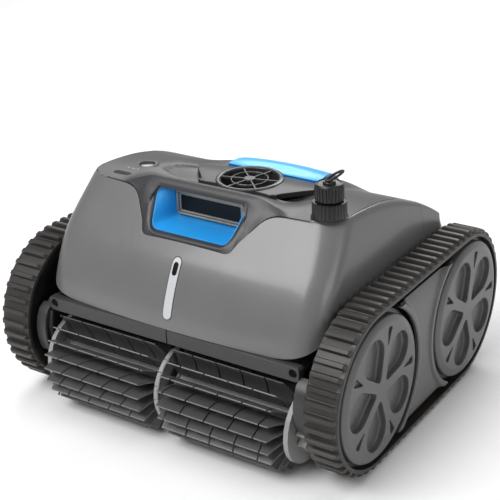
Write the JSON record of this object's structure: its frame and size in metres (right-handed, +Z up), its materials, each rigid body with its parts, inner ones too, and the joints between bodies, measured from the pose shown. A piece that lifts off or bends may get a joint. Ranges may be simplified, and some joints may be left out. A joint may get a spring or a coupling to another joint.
{
  "type": "robotic pool cleaner",
  "caption": "Tracked pool-floor cleaner with a tunnel-shaped hull, hand window, rear filter lid, top water outlet and two gear-driven roller brushes.",
  "frame": {"origin": "on the ground, in the middle of the machine", "axes": "+X to the right of someone facing the front, +Y towards the back, +Z up; the front with the hand window faces -Y"},
  "size_m": [0.4186, 0.3826, 0.2886],
  "materials": {
    "painted_shell": "gloss paint",
    "dark_plastic": "satin",
    "cover_plastic": "satin",
    "black_plastic": "satin",
    "light_grey_plastic": "matt",
    "blue_plastic": "satin",
    "lid_plastic": "satin",
    "diffuser": "frosted",
    "smoked_pane": "polished",
    "filter_mesh": "matt",
    "track_rubber": "matt",
    "brush_pvc": "matt",
    "steel": "brushed"
  },
  "bodies": {
    "hull": {"main_shell": "painted_shell", "rear_shell": "painted_shell", "status_light": "diffuser", "top_deck": "dark_plastic", "outlet_guard": "dark_plastic", "chassis_tub": "dark_plastic", "left_side_frame": "dark_plastic", "right_side_frame": "dark_plastic", "front_bar_left": "dark_plastic", "front_bar_right": "dark_plastic", "rear_bar_left": "dark_plastic", "rear_bar_right": "dark_plastic", "front_hanger": "dark_plastic", "rear_hanger": "dark_plastic", "hand_tray": "blue_plastic", "sight_frame": "light_grey_plastic", "battery_pack": "light_grey_plastic", "sight_pane": "smoked_pane", "indicator_lens": "black_plastic", "connector_socket": "black_plastic", "pump_motor": "black_plastic", "control_box": "black_plastic", "lid_hinge_pin": "steel", "left_drive_motor": "steel", "right_drive_motor": "steel", "front_bar_screw_left": "steel", "front_bar_screw_right": "steel", "rear_bar_screw_left": "steel", "rear_bar_screw_right": "steel", "filter_basket": "filter_mesh", "left_fairing": "cover_plastic", "right_fairing": "cover_plastic", "left_belt": "track_rubber", "right_belt": "track_rubber"},
    "front_left_wheel_set": {"front_left_wheel": "black_plastic", "front_left_cover": "cover_plastic"},
    "front_left_brush_set": {"front_left_brush": "brush_pvc", "front_left_brush_cap": "light_grey_plastic", "front_centre_disc": "light_grey_plastic"},
    "rear_left_wheel_set": {"rear_left_wheel": "black_plastic", "rear_left_cover": "cover_plastic"},
    "rear_left_brush_set": {"rear_left_brush": "brush_pvc", "rear_left_brush_cap": "light_grey_plastic", "rear_centre_disc": "light_grey_plastic"},
    "left_pinion": {"left_motor_pinion": "light_grey_plastic"},
    "front_right_wheel_set": {"front_right_wheel": "black_plastic", "front_right_cover": "cover_plastic"},
    "front_right_brush_set": {"front_right_brush": "brush_pvc", "front_right_brush_cap": "light_grey_plastic"},
    "rear_right_wheel_set": {"rear_right_wheel": "black_plastic", "rear_right_cover": "cover_plastic"},
    "rear_right_brush_set": {"rear_right_brush": "brush_pvc", "rear_right_brush_cap": "light_grey_plastic"},
    "right_pinion": {"right_motor_pinion": "light_grey_plastic"},
    "pump_rotor": {"impeller": "black_plastic"},
    "filter_lid": {"rear_lid": "lid_plastic"},
    "float_connector": {"connector_cap": "black_plastic", "connector_clip": "black_plastic"},
    "start_button": {"power_button": "black_plastic"},
    "suction_flap": {"intake_flap": "black_plastic"}
  },
  "joints": [
    {"name": "front_left_wheel_spin", "type": "hinge", "parent": "hull", "child": "front_left_wheel_set", "pos_m": [0, -0.098, 0.0885], "axis": [1, 0, 0], "continuous": true},
    {"name": "rear_left_wheel_spin", "type": "hinge", "parent": "hull", "child": "rear_left_wheel_set", "pos_m": [0, 0.098, 0.0885], "axis": [1, 0, 0], "continuous": true},
    {"name": "front_left_brush_spin", "type": "hinge", "parent": "hull", "child": "front_left_brush_set", "pos_m": [0, -0.13734, 0.0545], "axis": [1, 0, 0], "continuous": true},
    {"name": "rear_left_brush_spin", "type": "hinge", "parent": "hull", "child": "rear_left_brush_set", "pos_m": [0, 0.13734, 0.0545], "axis": [1, 0, 0], "continuous": true},
    {"name": "left_pinion_spin", "type": "hinge", "parent": "hull", "child": "left_pinion", "pos_m": [0, -0.04679, 0.0975], "axis": [1, 0, 0], "continuous": true},
    {"name": "front_right_wheel_spin", "type": "hinge", "parent": "hull", "child": "front_right_wheel_set", "pos_m": [0, -0.098, 0.0885], "axis": [1, 0, 0], "continuous": true},
    {"name": "rear_right_wheel_spin", "type": "hinge", "parent": "hull", "child": "rear_right_wheel_set", "pos_m": [0, 0.098, 0.0885], "axis": [1, 0, 0], "continuous": true},
    {"name": "front_right_brush_spin", "type": "hinge", "parent": "hull", "child": "front_right_brush_set", "pos_m": [0, -0.13734, 0.0545], "axis": [1, 0, 0], "continuous": true},
    {"name": "rear_right_brush_spin", "type": "hinge", "parent": "hull", "child": "rear_right_brush_set", "pos_m": [0, 0.13734, 0.0545], "axis": [1, 0, 0], "continuous": true},
    {"name": "right_pinion_spin", "type": "hinge", "parent": "hull", "child": "right_pinion", "pos_m": [0, -0.04679, 0.0975], "axis": [1, 0, 0], "continuous": true},
    {"name": "impeller_spin", "type": "hinge", "parent": "hull", "child": "pump_rotor", "pos_m": [0, -0.004, 0.203], "axis": [0, 0, 1], "continuous": true},
    {"name": "lid_swing", "type": "hinge", "parent": "hull", "child": "filter_lid", "pos_m": [0, 0.117, 0.19307], "axis": [-1, 0, 0], "range_deg": [0, 95]},
    {"name": "connector_turn", "type": "hinge", "parent": "hull", "child": "float_connector", "pos_m": [0.1355, -0.07, 0.27], "axis": [0, 0, 1], "range_deg": [0, 90]},
    {"name": "button_press", "type": "slide", "parent": "hull", "child": "start_button", "axis": [0, 0, -1], "range_m": [0, 0.0015], "stiffness_N_per_m": 400},
    {"name": "flap_lift", "type": "hinge", "parent": "hull", "child": "suction_flap", "pos_m": [0, 0.018, 0.03], "axis": [-1, 0, 0], "range_deg": [0, 60]}
  ],
  "couplings": [
    {"joint": "rear_left_wheel_spin", "follows": "front_left_wheel_spin", "ratio": 1},
    {"joint": "front_left_brush_spin", "follows": "front_left_wheel_spin", "ratio": -1.1667},
    {"joint": "rear_left_brush_spin", "follows": "front_left_wheel_spin", "ratio": -1.1667},
    {"joint": "left_pinion_spin", "follows": "front_left_wheel_spin", "ratio": -1.1667},
    {"joint": "rear_right_wheel_spin", "follows": "front_right_wheel_spin", "ratio": 1},
    {"joint": "front_right_brush_spin", "follows": "front_right_wheel_spin", "ratio": -1.1667},
    {"joint": "rear_right_brush_spin", "follows": "front_right_wheel_spin", "ratio": -1.1667},
    {"joint": "right_pinion_spin", "follows": "front_right_wheel_spin", "ratio": -1.1667}
  ]
}
